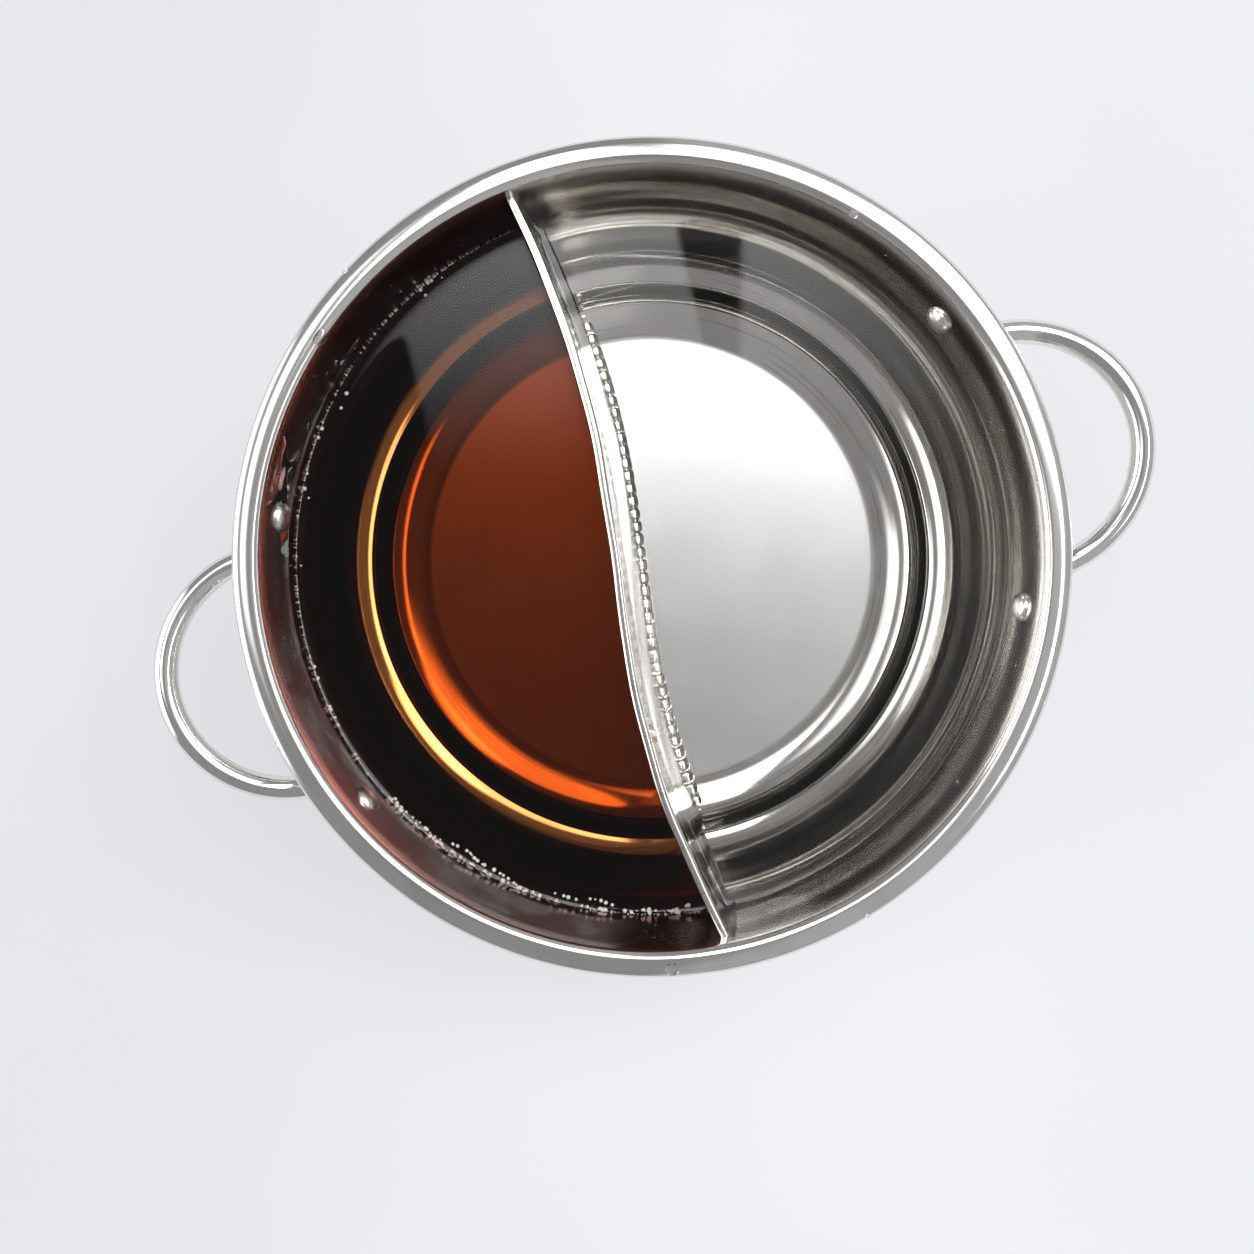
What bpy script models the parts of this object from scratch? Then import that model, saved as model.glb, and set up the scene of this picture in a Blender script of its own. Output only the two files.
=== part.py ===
"""Yin-yang hot pot: a steel pot with a rolled lip, an S-shaped divider, two riveted loop
handles, and a broth in each half. Metres, +Z up.

The pot stands on z = 0 with its axis on Z. The handles lie along X and the divider along Y.
"""

import math

import bmesh
import bpy
from mathutils import Matrix, Vector

MM = 0.001
QUARTER = math.pi / 2

# Pot, turned about Z. Radii, heights and lengths are those of the inside face, which climbs
# from a flat floor over a low tub's corner, heel and wall to a ledge, then over a shoulder to
# the flared wall. Slopes are measured from the level.
POT_HEIGHT = 95 * MM
SHEET = 1.1 * MM
FLOOR_TOP = 5 * MM
FLOOR_RADIUS = 90 * MM
CORNER_RADIUS = 36 * MM
CORNER_SLOPE = math.radians(24)
HEEL_RADIUS = 3.5 * MM
TUB_SLOPE = math.radians(84)
TUB_LENGTH = 20 * MM
EDGE_RADIUS = 1.8 * MM
LEDGE_SLOPE = math.radians(16)
LEDGE_RADIUS = 28 * MM
SHOULDER_SLOPE = math.radians(42)
SHOULDER_LENGTH = 9.4 * MM
SHOULDER_RADIUS = 21.2 * MM
WALL_FLARE = math.radians(8)
PAD_RADIUS = 86 * MM
PAD_CHAMFER = 1 * MM
TURNS = 56

# Lip, seen in section: three round stretches that follow on from each other.
LIP_FILLET = 3.2 * MM
LIP_CROWN = 12 * MM
LIP_ROLL = 3.6 * MM
CROWN_START = math.radians(95)
CROWN_END = math.radians(70)
ROLL_END = math.radians(-140)

# Divider, a leaning plate with a rolled top edge and a weld along each side of its foot.
DIVIDER_TOP = 87 * MM
DIVIDER_PLATE = 1.2 * MM
DIVIDER_X = -12.5 * MM
DIVIDER_LEAN = 8 * MM
S_SWING = 7.3 * MM
S_NEAR_LENGTH = 138 * MM
S_FAR_LENGTH = 150 * MM
DIVIDER_REACH = 146 * MM
HEM_WIDTH = 3.4 * MM
HEM_HEIGHT = 5 * MM
HEM_SHOULDER = 0.75
HEM_ROUNDING = 0.2
HEM_FLAT = 0.6
WELD_WIDTH = 2.8 * MM
WELD_HEIGHT = 2.6 * MM
WELD_TOE = 0.35
WELD_SHOULDER = (0.45, 0.8)
DIVIDER_STATIONS = 36

# Broths
BROTH_LEVEL = 59 * MM

# Handles, each a bent tube whose ends are flattened into riveted ears.
HANDLE_HEIGHT = 75 * MM
HANDLE_CENTRE_X = 140.6 * MM
HANDLE_BEND = 44 * MM
HANDLE_LIFT = 4 * MM
TUBE_RADIUS = 4.5 * MM
EAR_HALF_THICKNESS = 1 * MM
EAR_HALF_HEIGHT = 7 * MM
EAR_START = math.radians(20.5)
EAR_END = math.radians(28.2)
EAR_ROUNDING = 7 * MM
EAR_STATIONS = (0.35, 0.55, 0.75, 0.88, 0.96, 1.0)
EAR_TIP = 0.2
EAR_SQUARENESS = 0.6
NECK_PULL = 4.5 * MM
NECK_STATIONS = 4
NECK_FLATNESS = 0.25
BEND_STATIONS = 8
TUBE_SIDES = 12

# Rivets, through the wall and an ear.
RIVET_ANGLE = math.radians(23.4)
RIVET_SHANK_RADIUS = 2 * MM
RIVET_HOLE_RADIUS = 2.35 * MM
INNER_HEAD_RADIUS = 5.6 * MM
INNER_HEAD_HEIGHT = 3.2 * MM
OUTER_HEAD_RADIUS = 4 * MM
OUTER_HEAD_HEIGHT = 1.5 * MM
RIVET_SIDES = 16

# Clearances between pieces that touch
GAP = 0.3 * MM
RIVET_GAP = 0.5 * MM

# How far a cutter reaches past what it cuts
CUT_PAST = 8 * MM


def clear_scene():
    for obj in list(bpy.data.objects):
        bpy.data.objects.remove(obj)


def surface(name, colour, roughness, metallic, transmission=0.0):
    material = bpy.data.materials.new(name)
    material.use_nodes = True
    shader = material.node_tree.nodes["Principled BSDF"]
    shader.inputs["Base Color"].default_value = (*colour, 1)
    shader.inputs["Roughness"].default_value = roughness
    shader.inputs["Metallic"].default_value = metallic
    shader.inputs["Transmission Weight"].default_value = transmission
    return material


def polished_steel():
    return surface("polished_steel", (0.66, 0.65, 0.63), 0.12, 1)


def red_liquid():
    return surface("red_broth", (0.34, 0.05, 0.012), 0.03, 0, 0.9)


def clear_liquid():
    return surface("clear_broth", (0.9, 0.92, 0.91), 0.03, 0, 1)


def add_object(name, mesh, material=None, parent=None):
    obj = bpy.data.objects.new(name, mesh)
    bpy.context.scene.collection.objects.link(obj)
    if material and not mesh.materials:
        mesh.materials.append(material)
    obj.parent = parent
    return obj


def mesh_from(name, bm, sharp_angle=35):
    """Turns a closed bmesh into a smooth-shaded mesh with its faces pointing out."""
    bmesh.ops.remove_doubles(bm, verts=bm.verts, dist=1e-6)
    bmesh.ops.recalc_face_normals(bm, faces=bm.faces)
    mesh = bpy.data.meshes.new(name)
    bm.to_mesh(mesh)
    bm.free()
    mesh.shade_smooth()
    mesh.set_sharp_from_angle(angle=math.radians(sharp_angle))
    return mesh


def turned(name, profile, sides):
    """A solid turned about Z from a profile of (radius, z) that starts and ends on the axis."""
    bm = bmesh.new()
    verts = [bm.verts.new((radius, 0, z)) for radius, z in profile]
    edges = [bm.edges.new(pair) for pair in zip(verts, verts[1:])]
    bmesh.ops.spin(
        bm,
        geom=verts + edges,
        cent=(0, 0, 0),
        axis=(0, 0, 1),
        dvec=(0, 0, 0),
        angle=2 * math.pi,
        steps=sides,
        use_merge=True,
        use_duplicate=False,
    )
    return mesh_from(name, bm)


def skinned(name, rings):
    """A solid through a row of closed rings that hold the same number of points."""
    bm = bmesh.new()
    rows = [[bm.verts.new(point) for point in ring] for ring in rings]
    for row, following in zip(rows, rows[1:]):
        for i, vert in enumerate(row):
            j = (i + 1) % len(row)
            bm.faces.new((vert, row[j], following[j], following[i]))
    bm.faces.new(rows[0])
    bm.faces.new(rows[-1])
    return mesh_from(name, bm)


def arc_on(path, radius, start, end, steps):
    """Continues a path with an arc. The angles are those of its radii about its centre."""
    from_radius, from_z = path[-1]
    centre_r = from_radius - radius * math.cos(start)
    centre_z = from_z - radius * math.sin(start)
    for step in range(1, steps + 1):
        angle = start + (end - start) * step / steps
        path.append((centre_r + radius * math.cos(angle), centre_z + radius * math.sin(angle)))


def hollow_on(path, radius, start_slope, end_slope, steps):
    """Continues a path with an arc that is hollow towards the inside."""
    arc_on(path, radius, start_slope - QUARTER, end_slope - QUARTER, steps)


def bulge_on(path, radius, start_slope, end_slope, steps):
    """Continues a path with an arc that bulges towards the inside."""
    arc_on(path, radius, start_slope + QUARTER, end_slope + QUARTER, steps)


def straight_on(path, length, slope):
    radius, z = path[-1]
    path.append((radius + length * math.cos(slope), z + length * math.sin(slope)))


def lower_face(offset):
    """The inside from the axis to the foot of the flared wall, on the face that lies offset outside."""
    path = [(0, FLOOR_TOP - offset), (FLOOR_RADIUS, FLOOR_TOP - offset)]
    hollow_on(path, CORNER_RADIUS + offset, 0, CORNER_SLOPE, 2)
    hollow_on(path, HEEL_RADIUS + offset, CORNER_SLOPE, TUB_SLOPE, 3)
    straight_on(path, TUB_LENGTH, TUB_SLOPE)
    bulge_on(path, EDGE_RADIUS - offset, TUB_SLOPE, LEDGE_SLOPE, 3)
    hollow_on(path, LEDGE_RADIUS + offset, LEDGE_SLOPE, SHOULDER_SLOPE, 3)
    straight_on(path, SHOULDER_LENGTH, SHOULDER_SLOPE)
    hollow_on(path, SHOULDER_RADIUS + offset, SHOULDER_SLOPE, QUARTER - WALL_FLARE, 3)
    return path


def wall_radius(z, offset=0.0):
    """Radius of the flared wall at a height."""
    start_radius, start_z = lower_face(offset)[-1]
    return start_radius + (z - start_z) * math.tan(WALL_FLARE)


def wall_length():
    """Length of the flared wall that brings the lip's crown to the pot's height."""
    fillet_rise = LIP_FILLET * (math.sin(CROWN_START) - math.sin(math.pi - WALL_FLARE))
    crown_rise = LIP_CROWN * (1 - math.sin(CROWN_START))
    wall_rise = POT_HEIGHT - fillet_rise - crown_rise - lower_face(0)[-1][1]
    return wall_rise / math.cos(WALL_FLARE)


def sheet_face(offset):
    """One face of the sheet from the axis to the end of the rolled lip, offset outside the inner face."""
    path = lower_face(offset)
    straight_on(path, wall_length(), QUARTER - WALL_FLARE)
    arc_on(path, LIP_FILLET - offset, math.pi - WALL_FLARE, CROWN_START, 3)
    arc_on(path, LIP_CROWN - offset, CROWN_START, CROWN_END, 2)
    arc_on(path, LIP_ROLL - offset, CROWN_END, ROLL_END, 5)
    return path


def pot_profile():
    """The pot's section: the inside, the lip, and the outside down to a thick base pad."""
    outside = sheet_face(SHEET)[1:]
    pad = [
        (PAD_RADIUS, FLOOR_TOP - SHEET),
        (PAD_RADIUS, PAD_CHAMFER),
        (PAD_RADIUS - PAD_CHAMFER, 0),
        (0, 0),
    ]
    return sheet_face(0) + outside[::-1] + pad


def inside_profile(top):
    """The pot's inside up to a height, a gap clear of the sheet."""
    return lower_face(-GAP) + [(wall_radius(top, -GAP), top), (0, top)]


def s_curve(y):
    """How far the divider swings to +X at a place along Y."""
    half_wave = S_FAR_LENGTH if y > 0 else S_NEAR_LENGTH
    return S_SWING * math.sin(math.pi * y / half_wave)


def lean(z):
    """How far the leaning plate's middle lies to +X at a height."""
    share = (DIVIDER_TOP - z) / (DIVIDER_TOP - FLOOR_TOP)
    return DIVIDER_X + DIVIDER_LEAN * share


def plate_face(side, top, gap):
    """The plate's face on one side (-1 or 1) from under the floor up to a height, weld included."""
    half = DIVIDER_PLATE / 2 + gap
    foot = FLOOR_TOP + gap
    shoulder_out, shoulder_up = WELD_SHOULDER
    steps = [
        (half + WELD_WIDTH, FLOOR_TOP - CUT_PAST),
        (half + WELD_WIDTH, foot + WELD_HEIGHT * WELD_TOE),
        (half + WELD_WIDTH * shoulder_out, foot + WELD_HEIGHT * shoulder_up),
        (half, foot + WELD_HEIGHT),
        (half, top),
    ]
    return [(side * out + lean(z), z) for out, z in steps]


def hem():
    """The rolled top edge's outline from the plate's right face over to its left."""
    half = HEM_WIDTH / 2
    side = [
        (half, DIVIDER_TOP - HEM_HEIGHT * HEM_SHOULDER),
        (half, DIVIDER_TOP - HEM_HEIGHT * HEM_ROUNDING),
        (half * HEM_FLAT, DIVIDER_TOP),
    ]
    right = [(out + lean(z), z) for out, z in side]
    left = [(-out + lean(z), z) for out, z in reversed(side)]
    return right + left


def divider_section():
    """The divider's outline where the S has no swing, as (x, z)."""
    top = DIVIDER_TOP - HEM_HEIGHT
    return plate_face(1, top, 0) + hem() + plate_face(-1, top, 0)[::-1]


def beside_divider(side):
    """All that lies on the divider's far side, seen from one side, and the divider and its gap too."""
    top = BROTH_LEVEL + CUT_PAST
    far = -side * (POT_HEIGHT + FLOOR_RADIUS)
    face = plate_face(side, top, GAP)
    return face + [(far, top), (far, face[0][1])]


def along_s(name, section):
    """A solid with a section of (x, z) that follows the S from wall to wall and past it."""
    rings = []
    for station in range(DIVIDER_STATIONS + 1):
        y = DIVIDER_REACH * (2 * station / DIVIDER_STATIONS - 1)
        rings.append([(x + s_curve(y), y, z) for x, z in section])
    return skinned(name, rings)


def add_boolean(obj, operation, other):
    modifier = obj.modifiers.new(operation.title(), "BOOLEAN")
    modifier.operation = operation
    modifier.solver = "EXACT"
    if isinstance(other, bpy.types.Collection):
        modifier.operand_type = "COLLECTION"
        modifier.collection = other
    else:
        modifier.object = other


def add_helper(name, mesh):
    """An object that only cuts or trims others."""
    helper = add_object(name, mesh)
    helper.display_type = "WIRE"
    helper.hide_render = True
    return helper


def add_pot(steel, holes):
    pot = add_object("pot_body", turned("pot_body", pot_profile(), TURNS), steel)
    add_boolean(pot, "DIFFERENCE", holes)


def add_divider(steel):
    divider = add_object("divider", along_s("divider", divider_section()), steel)
    inside = turned("divider_trim", inside_profile(DIVIDER_TOP + MM), TURNS)
    add_boolean(divider, "INTERSECT", add_helper("divider_trim", inside))


def add_broth(name, side, material):
    """The broth on one side of the divider, filled up to the level."""
    broth = add_object(name, turned(name, inside_profile(BROTH_LEVEL), TURNS), material)
    cutter = along_s(name + "_cutter", beside_divider(side))
    add_boolean(broth, "DIFFERENCE", add_helper(name + "_cutter", cutter))


def on_wall(angle, offset):
    """A point at the rivets' height on the face that lies offset outside the inner wall."""
    radius = wall_radius(HANDLE_HEIGHT, offset)
    return Vector((radius * math.cos(angle), radius * math.sin(angle), HANDLE_HEIGHT))


def wall_up(angle):
    """The direction up the flared wall."""
    out = math.sin(WALL_FLARE)
    return Vector((out * math.cos(angle), out * math.sin(angle), math.cos(WALL_FLARE)))


def ear_offset():
    """Where an ear's middle lies outside the inner wall."""
    return SHEET + RIVET_GAP + EAR_HALF_THICKNESS


def bezier(start, pull_start, pull_end, end, share):
    rest = 1 - share
    return (
        start * rest**3
        + pull_start * 3 * rest**2 * share
        + pull_end * 3 * rest * share**2
        + end * share**3
    )


def half_handle():
    """Stations from the handle's middle to the tip of its +Y ear: (point, up, flatness, height share)."""
    up = Vector((0, 0, 1))
    stations = []
    for step in range(BEND_STATIONS + 1):
        angle = math.radians(90 * step / BEND_STATIONS)
        point = Vector((HANDLE_CENTRE_X, 0, HANDLE_HEIGHT)) + HANDLE_BEND * Vector(
            (math.cos(angle), math.sin(angle), 0)
        )
        point.z += HANDLE_LIFT * math.cos(angle) ** 2
        flatness = NECK_FLATNESS if step == BEND_STATIONS else 0
        stations.append((point, up, flatness, 1))

    start = stations[-1][0]
    end = on_wall(EAR_START, ear_offset())
    along_wall = Vector((-math.sin(EAR_START), math.cos(EAR_START), 0))
    pull_start = start + Vector((-NECK_PULL, 0, 0))
    pull_end = end - along_wall * NECK_PULL
    for step in range(1, NECK_STATIONS + 1):
        share = step / NECK_STATIONS
        point = bezier(start, pull_start, pull_end, end, share)
        tilt = up.lerp(wall_up(EAR_START), share)
        stations.append((point, tilt, min(1, NECK_FLATNESS + share), 1))

    ear_length = wall_radius(HANDLE_HEIGHT, ear_offset()) * (EAR_END - EAR_START)
    for share in EAR_STATIONS:
        angle = EAR_START + (EAR_END - EAR_START) * share
        past = max(0, share * ear_length - (ear_length - EAR_ROUNDING)) / EAR_ROUNDING
        height = max(EAR_TIP, math.sqrt(1 - past**2))
        stations.append((on_wall(angle, ear_offset()), wall_up(angle), 1, height))
    return stations


def tube_ring(point, along, up, flatness, height):
    """The tube's outline round a station: round at flatness 0, a flat ear at 1."""
    side = along.cross(up).normalized()
    over = side.cross(along).normalized()
    half_width = TUBE_RADIUS + (EAR_HALF_THICKNESS - TUBE_RADIUS) * flatness
    half_height = TUBE_RADIUS + (EAR_HALF_HEIGHT - TUBE_RADIUS) * flatness
    ring = []
    for k in range(TUBE_SIDES):
        angle = 2 * math.pi * (k + 0.5) / TUBE_SIDES
        across = max(-1, min(1, math.cos(angle) * (1 + EAR_SQUARENESS * flatness)))
        ring.append(
            point
            + side * half_width * across
            + over * half_height * height * math.sin(angle)
        )
    return ring


def handle_mesh():
    half = half_handle()
    mirror = Matrix.Diagonal((1, -1, 1))
    other_half = [(mirror @ point, mirror @ up, *rest) for point, up, *rest in half[:0:-1]]
    stations = other_half + half
    points = [station[0] for station in stations]
    rings = []
    for i, (point, up, flatness, height) in enumerate(stations):
        along = points[min(i + 1, len(points) - 1)] - points[max(i - 1, 0)]
        rings.append(tube_ring(point, along.normalized(), up, flatness, height))
    return skinned("handle", rings)


def rivet_mesh():
    """A rivet along its own +Z, with z = 0 on the pot's inner face and its round head inside."""
    ear_face = ear_offset() + EAR_HALF_THICKNESS + GAP
    profile = []
    for step in range(5):
        angle = math.radians(90 * step / 4)
        bulge = INNER_HEAD_HEIGHT * math.cos(angle)
        profile.append((INNER_HEAD_RADIUS * math.sin(angle), -RIVET_GAP - bulge))
    profile += [
        (RIVET_SHANK_RADIUS, -RIVET_GAP),
        (RIVET_SHANK_RADIUS, ear_face),
        (OUTER_HEAD_RADIUS, ear_face),
    ]
    for step in range(1, 4):
        angle = math.radians(90 * step / 3)
        rise = OUTER_HEAD_HEIGHT * math.sin(angle)
        profile.append((OUTER_HEAD_RADIUS * math.cos(angle), ear_face + rise))
    return turned("rivet", profile, RIVET_SIDES)


def hole_mesh():
    """A cutter for a rivet's hole through the wall and the ear."""
    hole = RIVET_HOLE_RADIUS
    profile = [(0, -CUT_PAST), (hole, -CUT_PAST), (hole, CUT_PAST), (0, CUT_PAST)]
    return turned("rivet_hole", profile, RIVET_SIDES)


def rivet_placement(obj, angle):
    """Stands obj on the inner wall at an angle round the pot, its Z pointing out through the wall."""
    out = Vector((math.cos(angle), math.sin(angle), -math.tan(WALL_FLARE)))
    obj.location = on_wall(angle, 0)
    obj.rotation_mode = "QUATERNION"
    obj.rotation_quaternion = out.to_track_quat("Z", "Y")


def add_handles(steel, holes):
    """Two handles, each under an empty on the pot's axis, with the rivets that hold it."""
    handle, rivet, hole = handle_mesh(), rivet_mesh(), hole_mesh()
    for side, turn in (("right", 0), ("left", math.pi)):
        hub = add_object(f"{side}_handle_hub", None)
        hub.rotation_euler.z = turn
        loop = add_object(f"handle_{side}", handle, steel, hub)
        for end, angle in (("front", -RIVET_ANGLE), ("back", RIVET_ANGLE)):
            fastener = add_object(f"rivet_{side}_{end}", rivet, steel, hub)
            rivet_placement(fastener, angle)
            cutter = add_helper(f"hole_{side}_{end}", hole)
            cutter.parent = hub
            rivet_placement(cutter, angle)
            holes.objects.link(cutter)
        add_boolean(loop, "DIFFERENCE", holes)


def main():
    clear_scene()
    holes = bpy.data.collections.new("rivet_holes")
    bpy.context.scene.collection.children.link(holes)
    steel = polished_steel()
    add_pot(steel, holes)
    add_divider(steel)
    add_broth("broth_red", -1, red_liquid())
    add_broth("broth_clear", 1, clear_liquid())
    add_handles(steel, holes)


main()
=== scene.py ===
import math
import random

import bmesh
import bpy
from mathutils import Matrix, Vector, noise


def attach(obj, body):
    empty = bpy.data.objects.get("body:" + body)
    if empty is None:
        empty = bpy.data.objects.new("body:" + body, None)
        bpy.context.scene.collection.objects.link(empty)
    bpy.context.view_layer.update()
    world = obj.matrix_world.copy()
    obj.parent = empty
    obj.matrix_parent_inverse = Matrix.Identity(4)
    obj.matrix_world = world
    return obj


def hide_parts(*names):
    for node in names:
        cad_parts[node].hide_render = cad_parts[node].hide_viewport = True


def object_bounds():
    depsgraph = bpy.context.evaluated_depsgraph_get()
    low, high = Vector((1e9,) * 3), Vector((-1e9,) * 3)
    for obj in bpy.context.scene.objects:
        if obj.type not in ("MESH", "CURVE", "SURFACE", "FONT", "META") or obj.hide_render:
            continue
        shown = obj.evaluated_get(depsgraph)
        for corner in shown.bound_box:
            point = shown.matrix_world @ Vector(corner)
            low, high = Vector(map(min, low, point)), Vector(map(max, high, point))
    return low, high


# Divided hot pot seen from above: polished steel, a reddish-brown broth and a clear one.
# Metres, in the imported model's frame: handles along X, divider along Y, pot's axis on Z.

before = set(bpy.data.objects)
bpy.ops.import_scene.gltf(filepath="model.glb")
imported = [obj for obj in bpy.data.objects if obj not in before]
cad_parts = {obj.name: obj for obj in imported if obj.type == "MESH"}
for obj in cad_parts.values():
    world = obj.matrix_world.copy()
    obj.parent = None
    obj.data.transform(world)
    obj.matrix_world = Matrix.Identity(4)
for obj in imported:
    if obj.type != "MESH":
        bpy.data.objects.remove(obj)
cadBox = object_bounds()
mm = 0.001
print("frame loaded, box in mm:", [round(side / mm, 1) for side in cadBox[1] - cadBox[0]])


# Shapes that several pieces share

def arcOn(path, radius, start, end, steps):
    # carries a path on with an arc; angles are those of its radii about its centre
    fromRadius, fromZ = path[-1]
    centreR = fromRadius - radius * math.cos(start)
    centreZ = fromZ - radius * math.sin(start)
    for step in range(1, steps + 1):
        angle = start + (end - start) * step / steps
        path.append((centreR + radius * math.cos(angle), centreZ + radius * math.sin(angle)))


def around(radius, angle, z):
    return Vector((radius * math.cos(angle), radius * math.sin(angle), z))


def linkMesh(name, bm, sharpAngle=40, merge=1e-7):
    bmesh.ops.remove_doubles(bm, verts=bm.verts, dist=merge)
    bmesh.ops.recalc_face_normals(bm, faces=bm.faces)
    mesh = bpy.data.meshes.new(name)
    bm.to_mesh(mesh)
    bm.free()
    mesh.shade_smooth()
    mesh.set_sharp_from_angle(angle=math.radians(sharpAngle))
    piece = bpy.data.objects.new(name, mesh)
    bpy.context.scene.collection.objects.link(piece)
    return piece


def turnProfile(bm, profile, turns):
    # a profile of (radius, z) turned about Z
    verts = [bm.verts.new((radius, 0, z)) for radius, z in profile]
    edges = [bm.edges.new(pair) for pair in zip(verts, verts[1:])]
    bmesh.ops.spin(bm, geom=verts + edges, cent=(0, 0, 0), axis=(0, 0, 1), dvec=(0, 0, 0),
                   angle=2 * math.pi, steps=turns, use_merge=True, use_duplicate=False)


def skinLoops(bm, loops):
    # quads between closed loops with the same number of points
    for loop, following in zip(loops, loops[1:]):
        for i, vert in enumerate(loop):
            j = (i + 1) % len(loop)
            bm.faces.new((vert, loop[j], following[j], following[i]))


def skinRings(bm, rings, cap=True):
    rows = [[bm.verts.new(point) for point in ring] for ring in rings]
    skinLoops(bm, rows)
    if cap:
        bm.faces.new(rows[0])
        bm.faces.new(rows[-1])
    return rows


def skinGrid(bm, rows):
    # quads through rows of points that don't close
    for row, following in zip(rows, rows[1:]):
        for i in range(len(row) - 1):
            bm.faces.new((row[i], row[i + 1], following[i + 1], following[i]))


def finishPiece(piece, material, slotName, *nodes):
    piece.data.materials.append(material)
    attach(piece, "root")
    if nodes:
        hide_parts(*nodes)


# Pot body

pot = dict(
    height=cadBox[1].z,
    floorTop=5 * mm,
    floorRadius=90 * mm,
    floorRows=(0, 0.25, 0.5, 0.7, 0.85, 0.95),   # shares of the radius
    cornerRadius=36 * mm,
    cornerSlope=math.radians(24),
    heelRadius=3.5 * mm,
    tubSlope=math.radians(84),
    tubLength=20 * mm,
    edgeRadius=1.8 * mm,
    ledgeSlope=math.radians(16),
    ledgeRadius=28 * mm,
    shoulderSlope=math.radians(42),
    shoulderLength=9.4 * mm,
    shoulderRadius=21.2 * mm,
    flare=math.radians(8),
    sheet=1.1 * mm,
    padRadius=86 * mm,
    padChamfer=1 * mm,
    turns=256,
    dent=0.05 * mm,                   # how far the spun wall wanders from a true circle
    dentStart=(8 * mm, 20 * mm),      # over the floor: where the wander begins, and how slowly
    dentEnd=(12 * mm, 8 * mm),        # the same under the lip
)
lip = dict(
    fillet=3.2 * mm,
    crown=12 * mm,
    roll=3.44 * mm,
    crownStart=math.radians(95),
    crownEnd=math.radians(70),
    rollEnd=math.radians(-140),
)
quarter = math.pi / 2


def hollowOn(path, radius, startSlope, endSlope, steps):
    arcOn(path, radius, startSlope - quarter, endSlope - quarter, steps)


def bulgeOn(path, radius, startSlope, endSlope, steps):
    arcOn(path, radius, startSlope + quarter, endSlope + quarter, steps)


def straightOn(path, length, slope, steps):
    radius, z = path[-1]
    for step in range(1, steps + 1):
        run = length * step / steps
        path.append((radius + run * math.cos(slope), z + run * math.sin(slope)))


def lowerFace(offset):
    # inside of the pot from the floor's edge up to the flared wall, on the face offset outside it
    path = [(pot["floorRadius"], pot["floorTop"] - offset)]
    hollowOn(path, pot["cornerRadius"] + offset, 0, pot["cornerSlope"], 20)
    hollowOn(path, pot["heelRadius"] + offset, pot["cornerSlope"], pot["tubSlope"], 14)
    straightOn(path, pot["tubLength"], pot["tubSlope"], 6)
    bulgeOn(path, pot["edgeRadius"] - offset, pot["tubSlope"], pot["ledgeSlope"], 14)
    hollowOn(path, pot["ledgeRadius"] + offset, pot["ledgeSlope"], pot["shoulderSlope"], 18)
    straightOn(path, pot["shoulderLength"], pot["shoulderSlope"], 4)
    hollowOn(path, pot["shoulderRadius"] + offset, pot["shoulderSlope"], quarter - pot["flare"], 14)
    return path


knownFaces = {}


def wallRadius(z, offset=0.0):
    # radius of the inside at a height, on the face that lies offset outside it
    if offset not in knownFaces:
        knownFaces[offset] = lowerFace(offset)
    path = knownFaces[offset]
    if z <= path[0][1]:
        return path[0][0]
    for (radius, low), (nextRadius, high) in zip(path, path[1:]):
        if z <= high:
            return radius + (nextRadius - radius) * (z - low) / (high - low)
    return path[-1][0] + (z - path[-1][1]) * math.tan(pot["flare"])


def sheetFace(offset, fine):
    path = [(pot["floorRadius"] * share, pot["floorTop"] - offset) for share in pot["floorRows"]]
    path += lowerFace(offset)
    filletRise = lip["fillet"] * (math.sin(lip["crownStart"]) - math.sin(math.pi - pot["flare"]))
    crownRise = lip["crown"] * (1 - math.sin(lip["crownStart"]))
    length = (pot["height"] - filletRise - crownRise - lowerFace(0)[-1][1]) / math.cos(pot["flare"])
    straightOn(path, length, quarter - pot["flare"], 10)
    arcOn(path, lip["fillet"] - offset, math.pi - pot["flare"], lip["crownStart"], 10 * fine)
    arcOn(path, lip["crown"] - offset, lip["crownStart"], lip["crownEnd"], 6 * fine)
    arcOn(path, lip["roll"] - offset, lip["crownEnd"], lip["rollEnd"], 14 * fine)
    return path


def wander(x, y, z, seed):
    # a slow uneven wave round the spun wall, -1 to 1
    angle = math.atan2(y, x)
    wave = math.sin(5 * angle + seed + z / (17 * mm)) + 0.7 * math.sin(11 * angle - z / (11 * mm))
    return (wave + 0.5 * math.sin(19 * angle + 2 * seed + z / (7 * mm))) / 2.2


def makePot(material):
    bm = bmesh.new()
    pad = [
        (pot["padRadius"], pot["floorTop"] - pot["sheet"]),
        (pot["padRadius"], pot["padChamfer"]),
        (pot["padRadius"] - pot["padChamfer"], 0),
        (0, 0),
    ]
    outside = [point for point in sheetFace(pot["sheet"], 1)[1:] if point[0] > pot["padRadius"]]
    turnProfile(bm, sheetFace(0, 2) + outside[::-1] + pad, pot["turns"])
    startZ = pot["floorTop"] + pot["dentStart"][0]
    endZ = pot["height"] - pot["dentEnd"][0]
    for vert in bm.verts:
        x, y, z = vert.co
        begun = min(1, max(0, (z - startZ) / pot["dentStart"][1]))
        left = 1 - min(1, max(0, (z - endZ) / pot["dentEnd"][1]))
        push = 1 + pot["dent"] * wander(x, y, z, 1.3) * begun * left / max(math.hypot(x, y), 1 * mm)
        vert.co.x *= push
        vert.co.y *= push
    piece = linkMesh("pot_shell", bm)
    finishPiece(piece, material, "pot_steel", "pot_body")


# Divider

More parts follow.
